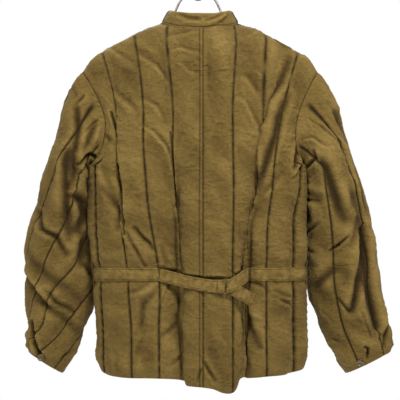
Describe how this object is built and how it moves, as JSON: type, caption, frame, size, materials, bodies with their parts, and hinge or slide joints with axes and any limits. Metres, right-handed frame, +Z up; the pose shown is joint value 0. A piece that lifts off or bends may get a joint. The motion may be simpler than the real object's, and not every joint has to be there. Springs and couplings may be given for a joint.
{
  "type": "quilted jacket on a wire hanger",
  "caption": "Hip-length quilted cotton work jacket with a stand collar, vertical quilting and a buckled half-belt at the back, hanging on a bent wire hanger.",
  "frame": {"origin": "inside top of the hanger's hook, where a rail carries it", "axes": "+Z up, +Y out of the jacket's front, -Y out of its back, +X towards the wearer's right"},
  "size_m": [0.7395, 0.2187, 0.8587],
  "materials": {
    "quilted_cloth": "matte cotton twill over wadding",
    "belt_cloth": "matte cotton twill",
    "buckle_metal": "khaki paint",
    "button_metal": "worn dark khaki",
    "hanger_wire": "dull grey wire"
  },
  "bodies": {
    "root": {"back_left": "quilted_cloth", "back_right": "quilted_cloth", "front_left": "quilted_cloth", "front_right": "quilted_cloth", "sleeve_left": "quilted_cloth", "sleeve_right": "quilted_cloth", "collar": "quilted_cloth", "waist_tape_left": "belt_cloth", "waist_tape_right": "belt_cloth", "belt_left": "belt_cloth", "belt_right": "belt_cloth", "buckle": "buckle_metal", "button_1": "button_metal", "button_2": "button_metal", "button_3": "button_metal", "button_4": "button_metal", "button_5": "button_metal", "cuff_button_left": "button_metal", "cuff_button_right": "button_metal", "hanger_frame": "hanger_wire", "hanger_hook": "hanger_wire"}
  },
  "joints": []
}
